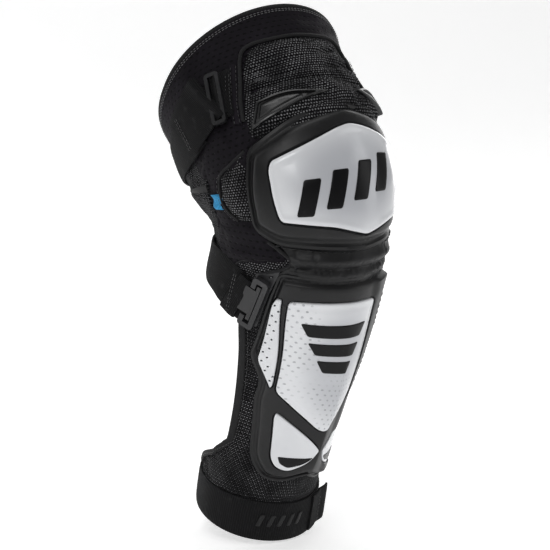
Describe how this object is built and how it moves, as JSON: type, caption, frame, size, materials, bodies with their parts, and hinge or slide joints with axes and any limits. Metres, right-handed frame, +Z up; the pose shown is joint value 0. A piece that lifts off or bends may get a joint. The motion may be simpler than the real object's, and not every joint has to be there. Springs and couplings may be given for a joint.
{
  "type": "knee and shin guard",
  "caption": "Knee and shin guard: padded thigh cuff, moulded knee cup and shin shield, soft joints between them, elastic straps with a ring, a hook clip and an ankle closure.",
  "frame": {"origin": "the knee joint axis, in the middle of the leg", "axes": "+Z up the leg when standing, -Y the way the knee faces, -X the outer side with the buckles"},
  "size_m": [0.1849, 0.2354, 0.4892],
  "materials": {
    "white_plate": "injection-moulded glossy white with a satin bevel",
    "black_inlay": "glossy black inlay",
    "frame_rubber": "satin moulded rubber, softly worn edges",
    "foam": "closed-cell impact foam",
    "blue_lining": "brushed moisture-wicking lining",
    "perforated_neoprene": "perforated neoprene laminate",
    "mesh_knit": "coarse air-mesh knit",
    "shin_mesh": "ribbed air-mesh knit",
    "elastic_webbing": "knitted elastic webbing",
    "binding_tape": "folded binding tape",
    "silicone": "printed silicone grip",
    "hardware": "acetal, fine spark texture",
    "catch_plastic": "grey acetal, fine spark texture",
    "loop_tape": "brushed loop fastener"
  },
  "bodies": {
    "knee": {"knee_lining": "blue_lining", "knee_foam": "foam", "knee_cup_frame": "frame_rubber", "knee_plate": "white_plate", "knee_plate_bars": "black_inlay", "side_gusset_left": "mesh_knit", "side_gusset_right": "mesh_knit", "gusset_binding_left": "binding_tape", "gusset_binding_right": "binding_tape", "front_bellows": "frame_rubber", "upper_flex_panel": "mesh_knit", "lower_mesh_patch_left": "mesh_knit", "lower_mesh_patch_right": "mesh_knit", "side_neoprene_left": "perforated_neoprene", "side_neoprene_right": "perforated_neoprene", "side_panel_left": "perforated_neoprene", "side_panel_right": "perforated_neoprene", "back_panel_upper": "elastic_webbing", "back_panel_lower": "elastic_webbing"},
    "thigh": {"thigh_cuff": "perforated_neoprene", "cuff_rim_binding": "binding_tape", "silicone_grip_band": "silicone", "thigh_foam": "foam", "thigh_mesh_cover": "mesh_knit", "cover_piping_left": "binding_tape", "cover_piping_right": "binding_tape", "vent_trim_left": "frame_rubber", "vent_trim_right": "frame_rubber", "ring_tab": "elastic_webbing", "strap_anchor_patch": "elastic_webbing", "thigh_strap": "elastic_webbing"},
    "shin": {"shin_carrier": "shin_mesh", "shin_foam": "foam", "shin_frame": "frame_rubber", "shin_plate": "white_plate", "shin_plate_bars": "black_inlay", "side_vent_left": "white_plate", "side_vent_right": "white_plate", "lower_plate_left": "white_plate", "lower_plate_right": "white_plate", "lower_badge_left": "black_inlay", "lower_badge_right": "black_inlay", "carrier_binding_left": "binding_tape", "carrier_binding_right": "binding_tape", "calf_strap": "elastic_webbing", "strap_catch": "catch_plastic", "ankle_loop_band": "loop_tape", "ankle_strap": "elastic_webbing"},
    "ring": {"strap_ring": "hardware"},
    "strap_end": {"thigh_strap_end": "elastic_webbing"},
    "clip": {"calf_clip": "hardware"},
    "ankle_tab": {"ankle_strap_tab": "elastic_webbing"}
  },
  "joints": [
    {"name": "thigh_flex", "type": "hinge", "parent": "knee", "child": "thigh", "pos_m": [0, 0, 0], "axis": [1, 0, 0], "range_deg": [-25, 15], "deforming": ["upper_flex_panel", "thigh_mesh_cover", "cover_piping_left", "cover_piping_right", "vent_trim_left", "vent_trim_right", "side_panel_left", "side_panel_right", "back_panel_upper", "thigh_strap"]},
    {"name": "shin_flex", "type": "hinge", "parent": "knee", "child": "shin", "pos_m": [0, 0, 0], "axis": [1, 0, 0], "range_deg": [-12, 20], "deforming": ["front_bellows", "lower_mesh_patch_left", "lower_mesh_patch_right", "side_neoprene_left", "side_neoprene_right", "back_panel_lower", "calf_strap"]},
    {"name": "ring_pivot", "type": "hinge", "parent": "thigh", "child": "ring", "pos_m": [-0.0767, 0.00263, 0.09306], "axis": [0.1467, 0.5227, 0.8398], "range_deg": [0, 20]},
    {"name": "strap_end_peel", "type": "hinge", "parent": "ring", "child": "strap_end", "pos_m": [-0.08214, 0.01074, 0.08896], "axis": [0.1467, 0.5227, 0.8398], "range_deg": [0, 110]},
    {"name": "clip_release", "type": "hinge", "parent": "shin", "child": "clip", "pos_m": [-0.07088, -0.02194, -0.0781], "axis": [-0.0106, 0.5197, -0.8543], "range_deg": [0, 35]},
    {"name": "ankle_tab_peel", "type": "hinge", "parent": "shin", "child": "ankle_tab", "pos_m": [0.02398, 0.00963, -0.29973], "axis": [0.0311, 0.2796, -0.9596], "range_deg": [0, 100]}
  ],
  "couplings": [
    {"joint": "shin_flex", "follows": "thigh_flex", "ratio": -0.8}
  ]
}
